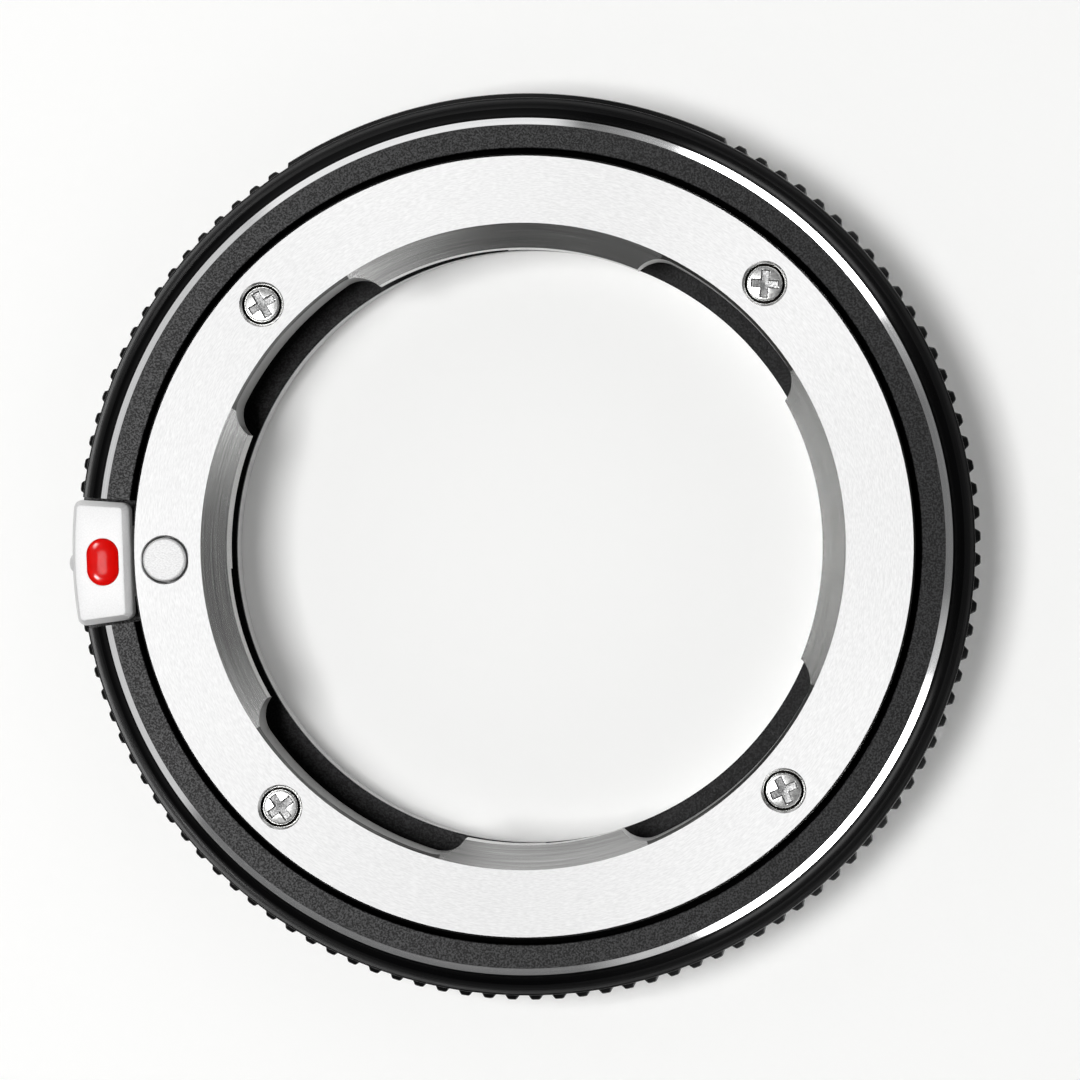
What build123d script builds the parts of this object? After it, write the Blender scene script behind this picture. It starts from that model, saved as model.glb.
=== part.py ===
# Lens mount adapter: a flat ring that carries a lens with a four-lug bayonet on a camera
# with a shorter register. Millimetres. The optical axis is +Z, towards the lens, the origin
# is on that axis in the plane of the camera barrel's end, and the release lever is on -X.
import os
from math import acos, cos, degrees, radians, sin, tan

from build123d import *

# Registers: the distance from each mounting face to the image plane
lens_register = 27.8
camera_register = 18.0

# Lens bayonet ring, built outwards from the inner radius of its tabs
tab_bore_r = 20.6
lug_depth = 1.4
hub_wall = 0.8
flange_width = 4.15
flange_thickness = 2.2
hub_depth = 4.0
mouth_chamfer = 1.6
flange_edge_bevel = 0.17
lug_relief = 0.7
cutter_r = 2.0
# Angles where each lug cutout opens and closes at the tabs' inner radius
lug_cutouts = ((26.9, 65.4), (116.9, 155.9), (208.4, 256.6), (287.1, 335.9))

# Screws of the lens ring
lens_screw_inset = 1.7
lens_screw_first_angle = 45.0
lens_screw_count = 4
lens_head_r = 1.25
lens_head_height = 1.0
lens_head_clearance = 0.15
lens_head_edge = 0.15
lens_screw_length = 5.4
thread_r = 0.8
thread_clearance = 0.05
shank_clearance = 0.25
recess_arm = 1.8
recess_width = 0.46
recess_depth = 0.6
recess_first_turn = 20.0
recess_turn_step = 37.0
screw_tip_gap = 0.3

# Lock pin
pin_inset = 1.9
pin_r = 1.5
pin_running_clearance = 0.125
pin_height = 0.35
pin_edge_chamfer = 0.17
pin_shank_r = 0.95
press_gap = 0.02

# Release lever: a bevelled tab outside the ring, a riser, and a neck under the ring
lever_ring_gap = 0.12
lever_half_width = 4.0
lever_side_taper = 6.0
lever_proud = 0.9
lever_thickness = 2.3
lever_bevel = 0.45
lever_corner_r = 0.6
lever_overhang = 0.1
lever_travel = 1.5
lever_side_gap = 0.2
lever_floor_gap = 0.2
lever_stop_gap = 0.05
neck_width = 4.9
neck_thickness = 1.5
neck_end_r = 1.65
riser_thickness = 0.9
pip_r = 0.6
pip_height = 0.22

# Red index bead on the lever
bead_length = 3.25
bead_width = 2.2
bead_pocket = 0.3
bead_dome = 0.35
bead_edge_r = 0.6
bead_gap = 0.02
bead_inset = 1.8

# Return springs under the lever
spring_wire_r = 0.15
spring_mean_r = 0.7
spring_turns = 4.0
spring_spacing = 5.2
spring_inset = 1.75
spring_well_depth = 3.5
spring_well_gap = 0.15
spring_end_gap = 0.03

# Body, built outwards from the lens ring
hub_gap = 0.1
rim_gap = 0.43
rim_width = 1.62
rim_drop = 0.5
bright_chamfer_width = 0.5
bright_chamfer_drop = 0.55
cove_r = 1.3
collar_width = 1.55
collar_drop = 2.5
collar_edge_r = 0.12
round_chords = 3
knurl_drop = 3.3
knurl_depth = 0.4
knurl_tip_bevel = 0.2
knurl_pitch_angle = 3.0
tooth_root_width = 1.13
tooth_tip_width = 0.55
tooth_sink = 0.15
plain_arc_start = 61.7
plain_arc_angle = 58.0
plain_arc_gap_angle = 2.5
skirt_height = 0.9
skirt_chamfer = 0.5
ledge_width = 2.05
ledge_thickness = 0.4

# Camera bayonet ring
throat_step = 0.2
barrel_wall = 0.75
barrel_length = 2.5
camera_lug_depth = 1.2
camera_lug_thickness = 1.25
# Each lug's middle angle and its width in degrees
camera_lugs = ((30.0, 46.0), (150.0, 46.0), (270.0, 58.0))
camera_flange_width = 6.6
camera_flange_thickness = 1.2
camera_flange_bevel = 0.2
camera_screw_first_angle = 15.0
camera_screw_count = 4
camera_head_r = 1.75
camera_screw_length = 3.6
lock_slot_angle = 235.0
lock_slot_width = 2.4
lock_slot_length = 4.0
lock_slot_extra_depth = 0.9

# Index dot for the camera, in the plain arc of the grip
dot_r = 0.8
dot_thickness = 0.3
dot_recess = 0.05

# Radii that follow from the sizes above
cutout_r = tab_bore_r + lug_depth
hub_r = cutout_r + hub_wall
flange_r = hub_r + flange_width
lens_screw_circle_r = hub_r + lens_screw_inset
pin_circle_r = hub_r + pin_inset
cavity_r = hub_r + hub_gap
recess_r = flange_r + rim_gap
rim_r = recess_r + rim_width
neck_r = rim_r + bright_chamfer_width
collar_r = neck_r + collar_width
knurl_tip_r = collar_r + knurl_depth
ledge_r = cavity_r - ledge_width
barrel_bore_r = ledge_r + throat_step
barrel_r = barrel_bore_r + barrel_wall
camera_lug_r = barrel_r + camera_lug_depth
camera_flange_r = camera_lug_r + camera_flange_width
camera_screw_circle_r = (camera_lug_r + camera_flange_r) / 2

# Heights above the barrel's end
camera_face_z = barrel_length
lens_face_z = camera_face_z + lens_register - camera_register
rear_z = camera_face_z + camera_flange_thickness
ledge_z = rear_z + ledge_thickness
seat_z = lens_face_z - flange_thickness
hub_end_z = lens_face_z - hub_depth
rim_z = lens_face_z - rim_drop
neck_z = rim_z - bright_chamfer_drop
collar_z = lens_face_z - collar_drop
knurl_top_z = lens_face_z - knurl_drop
knurl_bottom_z = rear_z + skirt_height
tab_top_z = lens_face_z + lever_proud
tab_bottom_z = tab_top_z - lever_thickness
neck_top_z = seat_z - lever_stop_gap
neck_bottom_z = neck_top_z - neck_thickness
notch_floor_z = tab_bottom_z - lever_travel - lever_floor_gap
pocket_floor_z = neck_bottom_z - lever_travel - lever_floor_gap
well_floor_z = notch_floor_z - spring_well_depth
spring_height = tab_bottom_z - well_floor_z

# Places along -X of the lever's faces
tab_inner_x = flange_r + lever_ring_gap
lever_outer_r = collar_r + lever_overhang
riser_outer_x = tab_inner_x + riser_thickness
bead_x = tab_inner_x + bead_inset
spring_x = lever_outer_r - spring_inset
spring_spots = ((-spring_x, -spring_spacing / 2), (-spring_x, spring_spacing / 2))

clear = 20.0  # reach of a cut past the solid that it goes through

os.makedirs("parts", exist_ok=True)


def lever_outline(gap, reach):
    """The tab's tapered plan on -X, grown by gap, from its inner face out to reach."""
    grown = gap / cos(radians(lever_side_taper))

    def half(x):
        return lever_half_width + (x - tab_inner_x) * tan(radians(lever_side_taper)) + grown

    inner = tab_inner_x - gap
    return ((-inner, half(inner)), (-reach, half(reach)), (-reach, -half(reach)), (-inner, -half(inner)))


def tabs():
    """Start and end angles of the solid tabs between one lug cutout and the next."""
    for (_, opens), (closes, _) in zip(lug_cutouts, lug_cutouts[1:] + lug_cutouts[:1]):
        yield opens, closes if closes > opens else closes + 360


def quarter_round(x, z, radius, start, turn):
    """A small round of the turned profile, in a few chords about a centre at radius x and height z."""
    for step in range(round_chords + 1):
        angle = radians(start + turn * step / round_chords)
        yield x + radius * cos(angle), z + radius * sin(angle)


def upright(angle):
    """The plane through the optical axis at an angle: its x runs outwards and its y along the axis."""
    return Plane((0, 0, 0), x_dir=(cos(radians(angle)), sin(radians(angle)), 0),
                 z_dir=(sin(radians(angle)), -cos(radians(angle)), 0))


def pie(radius, start, size):
    """A slice of a disc about the optical axis, in the sketch that is open."""
    with BuildLine() as outline:
        rim = CenterArc((0, 0), radius, start, size)
        Polyline(rim @ 1, (0, 0), rim @ 0)
    make_face(outline.edges())


def cross_recess(circle_r, angle, turn):
    """The driver cross of the screw at an angle of a screw circle, in the sketch that is open."""
    with PolarLocations(circle_r, 1, angle):
        Rectangle(recess_arm, recess_width, rotation=turn)
        Rectangle(recess_width, recess_arm, rotation=turn)


def lens_screw(angle, turn):
    """A cheese-head screw of the lens ring, flush with the flange and stopped at its own turn."""
    with BuildPart() as screw:
        with BuildSketch(Plane.XY.offset(lens_face_z - lens_head_height)):
            with PolarLocations(lens_screw_circle_r, 1, angle):
                Circle(lens_head_r)
        extrude(amount=lens_head_height)
        chamfer(screw.edges().group_by(Axis.Z)[-1], lens_head_edge)
        with BuildSketch(Plane.XY.offset(lens_face_z - lens_screw_length)):
            with PolarLocations(lens_screw_circle_r, 1, angle):
                Circle(thread_r)
        extrude(amount=lens_screw_length - lens_head_height)
        with BuildSketch(Plane.XY.offset(lens_face_z - recess_depth)):
            cross_recess(lens_screw_circle_r, angle, turn)
        extrude(amount=clear, mode=Mode.SUBTRACT)
    return screw


def camera_screw(angle, turn):
    """A countersunk screw of the camera ring, its flat head flush with the mounting face."""
    with BuildPart(Plane.XY.offset(camera_face_z)) as screw:
        with PolarLocations(camera_screw_circle_r, 1, angle):
            Cone(camera_head_r, thread_r, camera_head_r - thread_r,
                 align=(Align.CENTER, Align.CENTER, Align.MIN))
            Cylinder(thread_r, camera_screw_length, align=(Align.CENTER, Align.CENTER, Align.MIN))
        with BuildSketch(Plane.XY.offset(camera_face_z)):
            cross_recess(camera_screw_circle_r, angle, turn)
        extrude(amount=recess_depth, mode=Mode.SUBTRACT)
    return screw


def lever_spring(spot):
    """An open coil between the floor of its well and the underside of the lever's tab."""
    coil_height = spring_height - 2 * (spring_wire_r + spring_end_gap)
    with BuildPart() as spring:
        with BuildLine() as coil:
            Helix(coil_height / spring_turns, coil_height, spring_mean_r,
                  center=(*spot, well_floor_z + spring_wire_r + spring_end_gap))
        with BuildSketch(Plane(coil.line @ 0, z_dir=coil.line % 0)):
            RegularPolygon(spring_wire_r, 4)
        sweep(path=coil.line, is_frenet=True)
    return spring


# Body: turned profile with the ring's recess, the cavity behind the tabs and the throat ledge
with BuildPart() as body:
    with BuildSketch(Plane.XZ):
        with BuildLine():
            Polyline(
                (ledge_r, rear_z),
                (ledge_r, ledge_z),
                (cavity_r, ledge_z),
                (cavity_r, seat_z),
                (recess_r, seat_z),
                (recess_r, rim_z),
                (rim_r, rim_z),
                (neck_r, neck_z),
                *quarter_round(neck_r + cove_r, collar_z + cove_r, cove_r, 180, 90),
                *quarter_round(collar_r - collar_edge_r, collar_z - collar_edge_r, collar_edge_r, 90, -90),
                (collar_r, rear_z + skirt_chamfer),
                (collar_r - skirt_chamfer, rear_z),
                close=True,
            )
        make_face()
    revolve(axis=Axis.Z)

    # Straight teeth of the grip: low wedges that stand on the collar, all round but for the plain arc
    widen = 1 + tooth_sink / knurl_depth
    root_length = knurl_top_z - knurl_bottom_z
    tip_length = root_length - 2 * knurl_tip_bevel
    base_width = tooth_tip_width + (tooth_root_width - tooth_tip_width) * widen
    base_length = tip_length + 2 * knurl_tip_bevel * widen
    toothed_angle = 360 - plain_arc_angle - 2 * plain_arc_gap_angle
    tooth_count = round(toothed_angle / knurl_pitch_angle) + 1
    with Locations((0, 0, (knurl_top_z + knurl_bottom_z) / 2)):
        with PolarLocations(collar_r - tooth_sink, tooth_count,
                            plain_arc_start + plain_arc_angle + plain_arc_gap_angle,
                            toothed_angle, endpoint=True):
            Wedge(base_width, knurl_depth + tooth_sink, base_length,
                  (base_width - tooth_tip_width) / 2, (base_length - tip_length) / 2,
                  (base_width + tooth_tip_width) / 2, (base_length + tip_length) / 2,
                  rotation=(0, 0, -90), align=(Align.CENTER, Align.MIN, Align.CENTER))

    # Plain arc at the height of the teeth's tips
    with BuildSketch(upright(plain_arc_start)):
        with BuildLine():
            Polyline(
                (collar_r - tooth_sink, knurl_bottom_z),
                (collar_r, knurl_bottom_z),
                (knurl_tip_r, knurl_bottom_z + knurl_tip_bevel),
                (knurl_tip_r, knurl_top_z - knurl_tip_bevel),
                (collar_r, knurl_top_z),
                (collar_r - tooth_sink, knurl_top_z),
                close=True,
            )
        make_face()
    revolve(axis=Axis.Z, revolution_arc=plain_arc_angle)

    # Notch for the lever's tab, slot for its neck and riser, and the two spring wells
    with BuildSketch(Plane.XY.offset(notch_floor_z)):
        Polygon(*lever_outline(lever_side_gap, knurl_tip_r + clear), align=None)
    extrude(amount=clear, mode=Mode.SUBTRACT)
    with BuildSketch(Plane.XY.offset(pocket_floor_z)):
        slot_outer_x = riser_outer_x + lever_side_gap
        with Locations((-slot_outer_x, 0)):
            Rectangle(slot_outer_x - ledge_r, neck_width + 2 * lever_side_gap,
                      align=(Align.MIN, Align.CENTER))
    extrude(amount=clear, mode=Mode.SUBTRACT)
    with BuildSketch(Plane.XY.offset(well_floor_z)):
        with Locations(*spring_spots):
            Circle(spring_mean_r + spring_wire_r + spring_well_gap)
    extrude(amount=clear, mode=Mode.SUBTRACT)

    # Tapped holes for both sets of screws
    with BuildSketch(Plane.XY.offset(seat_z)):
        with PolarLocations(lens_screw_circle_r, lens_screw_count, lens_screw_first_angle):
            Circle(thread_r + thread_clearance)
    extrude(amount=flange_thickness - lens_screw_length - screw_tip_gap, mode=Mode.SUBTRACT)
    with BuildSketch(Plane.XY.offset(rear_z)):
        with PolarLocations(camera_screw_circle_r, camera_screw_count, camera_screw_first_angle):
            Circle(thread_r + thread_clearance)
    extrude(amount=camera_screw_length - camera_flange_thickness + screw_tip_gap, mode=Mode.SUBTRACT)

    # Deep end of the slot that takes the camera's lock pin
    with BuildSketch(Plane.XY.offset(rear_z)):
        with PolarLocations(camera_screw_circle_r, 1, lock_slot_angle):
            SlotOverall(lock_slot_length, lock_slot_width, rotation=90)
    extrude(amount=lock_slot_extra_depth, mode=Mode.SUBTRACT)

    # Blind dimple for the camera index dot, in the middle of the plain arc
    dot_angle = plain_arc_start + plain_arc_angle / 2
    dot_normal = Vector(cos(radians(dot_angle)), sin(radians(dot_angle)), 0)
    dot_height = Vector(0, 0, (knurl_top_z + knurl_bottom_z) / 2)
    dimple_floor_r = knurl_tip_r - dot_recess - dot_thickness
    dimple_floor = Plane(dot_height + dot_normal * dimple_floor_r, z_dir=dot_normal)
    with BuildSketch(dimple_floor):
        Circle(dot_r + press_gap)
    extrude(amount=clear, mode=Mode.SUBTRACT)

# Lens bayonet ring: flange on the body's seat, with a hub that carries the tabs
with BuildPart() as lens_ring:
    with BuildSketch(Plane.XZ):
        with BuildLine():
            Polyline(
                (tab_bore_r, hub_end_z),
                (hub_r, hub_end_z),
                (hub_r, seat_z),
                (flange_r, seat_z),
                (flange_r, lens_face_z - flange_edge_bevel),
                (flange_r - flange_edge_bevel, lens_face_z),
                (tab_bore_r + mouth_chamfer, lens_face_z),
                (tab_bore_r, lens_face_z - mouth_chamfer),
                close=True,
            )
        make_face()
    revolve(axis=Axis.Z)

    # Lug cutouts milled with a round cutter, whose ends keep the cutter's radius
    cutter_path_r = cutout_r - cutter_r
    lead = degrees(acos((tab_bore_r**2 + cutter_path_r**2 - cutter_r**2) / (2 * tab_bore_r * cutter_path_r)))
    with BuildSketch(Plane.XY.offset(hub_end_z)):
        for opens, closes in lug_cutouts:
            travel = closes - opens - 2 * lead
            path = CenterArc((0, 0), cutter_path_r, opens + lead, travel, mode=Mode.PRIVATE)
            SlotArc(path, 2 * cutter_r)
    extrude(amount=clear, mode=Mode.SUBTRACT)

    # Relief under half of each tab, where a lens lug turns in and meets its stop
    with BuildSketch(Plane.XY.offset(hub_end_z)):
        for start, end in tabs():
            middle = (start + end) / 2
            pie(cutout_r, middle, end - middle)
    extrude(amount=lug_relief, mode=Mode.SUBTRACT)

    # Counterbored screw holes and the lock pin's hole
    with BuildSketch(Plane.XY.offset(seat_z)):
        with PolarLocations(lens_screw_circle_r, lens_screw_count, lens_screw_first_angle):
            Circle(thread_r + shank_clearance)
        with Locations((-pin_circle_r, 0)):
            Circle(pin_r + pin_running_clearance)
    extrude(amount=clear, mode=Mode.SUBTRACT)
    with BuildSketch(Plane.XY.offset(lens_face_z - lens_head_height)):
        with PolarLocations(lens_screw_circle_r, lens_screw_count, lens_screw_first_angle):
            Circle(lens_head_r + lens_head_clearance)
    extrude(amount=clear, mode=Mode.SUBTRACT)

# Lock pin: a hard pin with a thinner shank held in the lever's neck
with BuildPart() as lock_pin:
    with BuildSketch(Plane.XY.offset(neck_top_z)):
        with Locations((-pin_circle_r, 0)):
            Circle(pin_r)
    extrude(amount=lens_face_z + pin_height - neck_top_z)
    chamfer(lock_pin.edges().group_by(Axis.Z)[-1], pin_edge_chamfer)
    with BuildSketch(Plane.XY.offset(neck_bottom_z)):
        with Locations((-pin_circle_r, 0)):
            Circle(pin_shank_r)
    extrude(amount=neck_thickness)

# Release lever: bevelled tab, riser and neck in one piece
with BuildPart() as lever:
    with BuildSketch(Plane.XY.offset(tab_bottom_z)) as tab_plan:
        Polygon(*lever_outline(0, lever_outer_r + clear), align=None)
        Circle(lever_outer_r, mode=Mode.INTERSECT)
        fillet(tab_plan.vertices().sort_by(Axis.X)[:2], lever_corner_r)
    extrude(amount=lever_thickness)
    chamfer(lever.edges().group_by(Axis.Z)[-1], lever_bevel)
    with BuildSketch(Plane.XY.offset(neck_bottom_z)):
        with Locations((-riser_outer_x, 0)):
            Rectangle(riser_thickness, neck_width, align=(Align.MIN, Align.CENTER))
    extrude(amount=tab_bottom_z - neck_bottom_z)
    with BuildSketch(Plane.XY.offset(neck_bottom_z)):
        with Locations((-riser_outer_x, 0)):
            Rectangle(riser_outer_x - pin_circle_r, neck_width, align=(Align.MIN, Align.CENTER))
        with Locations((-pin_circle_r, 0)):
            Circle(neck_end_r)
            Circle(pin_shank_r + press_gap, mode=Mode.SUBTRACT)
    extrude(amount=neck_thickness)

    # Low round pip on the outer face, found by touch
    pip_sphere_r = (pip_r**2 + pip_height**2) / (2 * pip_height)
    with Locations((-(lever_outer_r + pip_height - pip_sphere_r), 0, tab_bottom_z + lever_thickness / 2)):
        Sphere(pip_sphere_r)

    # Pocket for the index bead
    with BuildSketch(Plane.XY.offset(tab_top_z)):
        with Locations((-bead_x, 0)):
            SlotOverall(bead_length + 2 * bead_gap, bead_width + 2 * bead_gap, rotation=90)
    extrude(amount=-bead_pocket, mode=Mode.SUBTRACT)

# Index bead: an oval cabochon with a rounded top
with BuildPart() as bead:
    with BuildSketch(Plane.XY.offset(tab_top_z - bead_pocket)):
        with Locations((-bead_x, 0)):
            SlotOverall(bead_length, bead_width, rotation=90)
    extrude(amount=bead_pocket + bead_dome)
    fillet(bead.edges().group_by(Axis.Z)[-1], bead_edge_r)

# Camera bayonet ring: flange, barrel and lugs in one turned piece
with BuildPart() as camera_ring:
    with BuildSketch(Plane.XZ):
        with BuildLine():
            Polyline(
                (barrel_bore_r, 0),
                (barrel_r, 0),
                (barrel_r, camera_face_z),
                (camera_flange_r - camera_flange_bevel, camera_face_z),
                (camera_flange_r, camera_face_z + camera_flange_bevel),
                (camera_flange_r, rear_z),
                (barrel_bore_r, rear_z),
                close=True,
            )
        make_face()
    revolve(axis=Axis.Z)
    with BuildSketch():
        for middle, width in camera_lugs:
            pie(camera_lug_r, middle - width / 2, width)
        Circle(barrel_bore_r, mode=Mode.SUBTRACT)
    extrude(amount=camera_lug_thickness)

    # Countersunk screw holes and the slot for the camera's lock pin
    with Locations((0, 0, camera_face_z)):
        with PolarLocations(camera_screw_circle_r, camera_screw_count, camera_screw_first_angle):
            Cone(camera_head_r + press_gap, thread_r + press_gap, camera_head_r - thread_r,
                 align=(Align.CENTER, Align.CENTER, Align.MIN), mode=Mode.SUBTRACT)
            Cylinder(thread_r + shank_clearance, camera_flange_thickness,
                     align=(Align.CENTER, Align.CENTER, Align.MIN), mode=Mode.SUBTRACT)
    with BuildSketch(Plane.XY.offset(camera_face_z)):
        with PolarLocations(camera_screw_circle_r, 1, lock_slot_angle):
            SlotOverall(lock_slot_length, lock_slot_width, rotation=90)
    extrude(amount=clear, mode=Mode.SUBTRACT)

# Camera index dot: a filled disc just below the surface of the plain arc
with BuildPart() as index_dot:
    with BuildSketch(dimple_floor):
        Circle(dot_r)
    extrude(amount=dot_thickness)

pieces = {
    "body_ring": body,
    "lens_mount_ring": lens_ring,
    "lock_pin": lock_pin,
    "release_lever": lever,
    "lens_index_bead": bead,
    "camera_mount_ring": camera_ring,
    "camera_index_dot": index_dot,
}
for number in range(lens_screw_count):
    angle = lens_screw_first_angle + number * 360 / lens_screw_count
    turn = recess_first_turn + number * recess_turn_step
    pieces[f"lens_mount_screw_{number + 1}"] = lens_screw(angle, turn)
for number in range(camera_screw_count):
    angle = camera_screw_first_angle + number * 360 / camera_screw_count
    turn = recess_first_turn + number * recess_turn_step
    pieces[f"camera_mount_screw_{number + 1}"] = camera_screw(angle, turn)
for number, spot in enumerate(spring_spots):
    pieces[f"lever_spring_{number + 1}"] = lever_spring(spot)

for name, piece in pieces.items():
    piece.part.label = name
    export_step(piece.part, f"parts/{name}.step")
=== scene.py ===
# Lens mount adapter, lying lens side up on white paper, in the order it is put together.
# Metres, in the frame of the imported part: +Z is the optical axis and the release lever is on -X.
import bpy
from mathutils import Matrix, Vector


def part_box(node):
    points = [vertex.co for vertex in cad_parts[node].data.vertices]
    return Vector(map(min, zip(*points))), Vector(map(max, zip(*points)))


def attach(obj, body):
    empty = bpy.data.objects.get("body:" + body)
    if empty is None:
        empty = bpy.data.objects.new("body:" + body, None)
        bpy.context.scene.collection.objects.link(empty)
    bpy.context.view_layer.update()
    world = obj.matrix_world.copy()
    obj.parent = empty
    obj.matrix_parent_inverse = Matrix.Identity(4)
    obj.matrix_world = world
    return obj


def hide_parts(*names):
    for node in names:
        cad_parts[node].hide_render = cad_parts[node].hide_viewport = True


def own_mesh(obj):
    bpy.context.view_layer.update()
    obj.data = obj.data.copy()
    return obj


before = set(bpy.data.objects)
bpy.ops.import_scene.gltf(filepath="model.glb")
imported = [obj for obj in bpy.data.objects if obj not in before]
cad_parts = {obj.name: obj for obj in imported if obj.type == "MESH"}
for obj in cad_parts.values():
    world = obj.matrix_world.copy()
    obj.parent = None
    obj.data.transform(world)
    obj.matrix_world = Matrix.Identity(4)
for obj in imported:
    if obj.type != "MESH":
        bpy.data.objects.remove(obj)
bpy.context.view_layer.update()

from math import acos, cos, degrees, pi, radians, sin, sqrt, tan

import bmesh
import bpy
import numpy as np
from mathutils import Matrix, Vector

# Body ring: one aluminium turning, bead-blasted and black anodised, with the straight teeth of the
# grip milled round it. The narrow chamfer outside the rim was cut last, so it is bare and bright.
mm = 0.001
body_low, body_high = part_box("body_ring")
rear_z, rim_z, grip_r = body_low.z, body_high.z, body_high.y
lens_face_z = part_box("lens_mount_ring")[1].z
ledge_r, ledge_z = 20.85 * mm, rear_z + 0.4 * mm
cavity_r, recess_r, rim_r, neck_r = 22.9 * mm, 27.38 * mm, 29.0 * mm, 29.5 * mm
seat_z, bright_drop = lens_face_z - 2.2 * mm, 0.55 * mm
collar_r, collar_z = 31.05 * mm, lens_face_z - 2.5 * mm
cove_r, collar_edge_r, edge_break = 1.3 * mm, 0.12 * mm, 0.05 * mm
grip_top_z, grip_bottom_z = lens_face_z - 3.3 * mm, rear_z + 0.9 * mm
skirt_chamfer = 0.5 * mm
tooth_pitch, tooth_phase = 3.0, -0.8  # degrees
plain_arc = (61.65, 119.75)  # degrees


def linear(colour):
    """An sRGB hex colour as linear red, green, blue and alpha."""
    value = np.array([int(colour[place:place + 2], 16) for place in (1, 3, 5)]) / 255
    value = np.where(value <= 0.04045, value / 12.92, ((value + 0.055) / 1.055) ** 2.4)
    return (*value.tolist(), 1.0)


def add_node(tree, kind, inputs=(), **settings):
    """Adds one node, sets its properties, and sets or links each named input."""
    node = tree.nodes.new(kind)
    for key, value in settings.items():
        setattr(node, key, value)
    for key, value in dict(inputs).items():
        if isinstance(value, bpy.types.NodeSocket):
            tree.links.new(value, node.inputs[key])
        else:
            node.inputs[key].default_value = value
    return node


def new_finish(name, **sockets):
    """A material with constants set on its shader's sockets, given with _ for a space: material, tree and
    shader."""
    finish = bpy.data.materials.new(name)
    finish.use_nodes = True
    shader = finish.node_tree.nodes["Principled BSDF"]
    for key, value in sockets.items():
        shader.inputs[key.replace("_", " ")].default_value = value
    return finish, finish.node_tree, shader


def dress(tree, shader, pattern, dark, pale, rough, bump=None, spread=(0.0, 1.0), rough_spread=(0.0, 1.0)):
    """Lets one pattern set a finish: its tone from dark to pale and its roughness between two values, each
    over a spread of the pattern's own values, and its bumps, given by a strength and a height."""
    grain = add_node(tree, "ShaderNodeMapRange",
                     {"Value": pattern, "From Min": spread[0], "From Max": spread[1]}).outputs[0]
    tone = add_node(tree, "ShaderNodeMix", {0: grain, 6: linear(dark), 7: linear(pale)}, data_type="RGBA")
    sheen = add_node(tree, "ShaderNodeMapRange",
                     {"Value": pattern, "From Min": rough_spread[0], "From Max": rough_spread[1],
                      "To Min": rough[0], "To Max": rough[1]})
    tree.links.new(tone.outputs[2], shader.inputs["Base Color"])
    tree.links.new(sheen.outputs[0], shader.inputs["Roughness"])
    if bump:
        bumps = add_node(tree, "ShaderNodeBump",
                         {"Height": pattern, "Strength": bump[0], "Distance": bump[1]})
        tree.links.new(bumps.outputs[0], shader.inputs["Normal"])


def grained(name, size, dark, pale, rough, bump=None, detail=2.0, spread=(0.0, 1.0),
            rough_spread=(0.0, 1.0), **sockets):
    """A finish dressed by even noise, whose grains have a given size on the piece."""
    finish, tree, shader = new_finish(name, **sockets)
    place = add_node(tree, "ShaderNodeTexCoord").outputs["Object"]
    noise = add_node(tree, "ShaderNodeTexNoise", {"Vector": place, "Scale": 1 / size, "Detail": detail})
    dress(tree, shader, noise.outputs[0], dark, pale, rough, bump, spread, rough_spread)
    return finish


height_weight = 1.7  # marks lie this much closer on an upright wall than on a flat face


def lathed(name, pitch, run, dark, pale, rough, bump=None, spread=(0.0, 1.0), **sockets):
    """A finish dressed by the rings that a turning tool leaves: noise about the optical axis that changes
    every pitch along radius and weighted height, and every run along the ring. Where the finish smears its
    reflections, the smear lies across the rings."""
    finish, tree, shader = new_finish(name, **sockets)
    place = add_node(tree, "ShaderNodeTexCoord").outputs["Object"]
    flat = add_node(tree, "ShaderNodeVectorMath", {0: place, 1: (1, 1, 0)}, operation="MULTIPLY").outputs[0]
    reach = add_node(tree, "ShaderNodeVectorMath", {0: flat}, operation="LENGTH").outputs["Value"]
    outwards = add_node(tree, "ShaderNodeVectorMath", {0: flat}, operation="NORMALIZE").outputs[0]
    height = add_node(tree, "ShaderNodeSeparateXYZ", {0: place}).outputs["Z"]
    across = add_node(tree, "ShaderNodeMath", {0: height, 1: height_weight, 2: reach},
                      operation="MULTIPLY_ADD").outputs[0]
    lines = add_node(tree, "ShaderNodeMath", {0: across, 1: 1 / pitch}, operation="MULTIPLY").outputs[0]
    rings = add_node(tree, "ShaderNodeCombineXYZ", {"Z": lines}).outputs[0]
    wound = add_node(tree, "ShaderNodeVectorMath", {0: outwards, 1: (collar_r / run,) * 3, 2: rings},
                     operation="MULTIPLY_ADD").outputs[0]
    marks = add_node(tree, "ShaderNodeTexNoise", {"Vector": wound, "Scale": 1.0, "Detail": 2.0}).outputs[0]
    dress(tree, shader, marks, dark, pale, rough, bump, spread)
    if "Anisotropic" in sockets:
        tree.links.new(outwards, shader.inputs["Tangent"])
    return finish


# Anodised aluminium, bead-blasted: a dull charcoal skin with a fine, even sparkle of dents left by the
# beads. The dents are about 0.05 mm and are drawn at 0.13 mm, so that they show. A darker copy is painted
# shade for the throat and the grip, where shade falls.
dents = {"size": 0.13 * mm, "dark": "#020202", "rough": (0.43, 0.3), "bump": (0.6, 0.025 * mm),
         "spread": (0.42, 0.6), "rough_spread": (0.42, 0.6)}
blasted = grained("bead_blasted_black_anodised_aluminium", pale="#2c2c2d", Specular_IOR_Level=0.11, **dents)
shade_blasted = grained("bead_blasted_deep_black_anodised_aluminium", pale="#151516",
                       Specular_IOR_Level=0.085, **dents)

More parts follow.
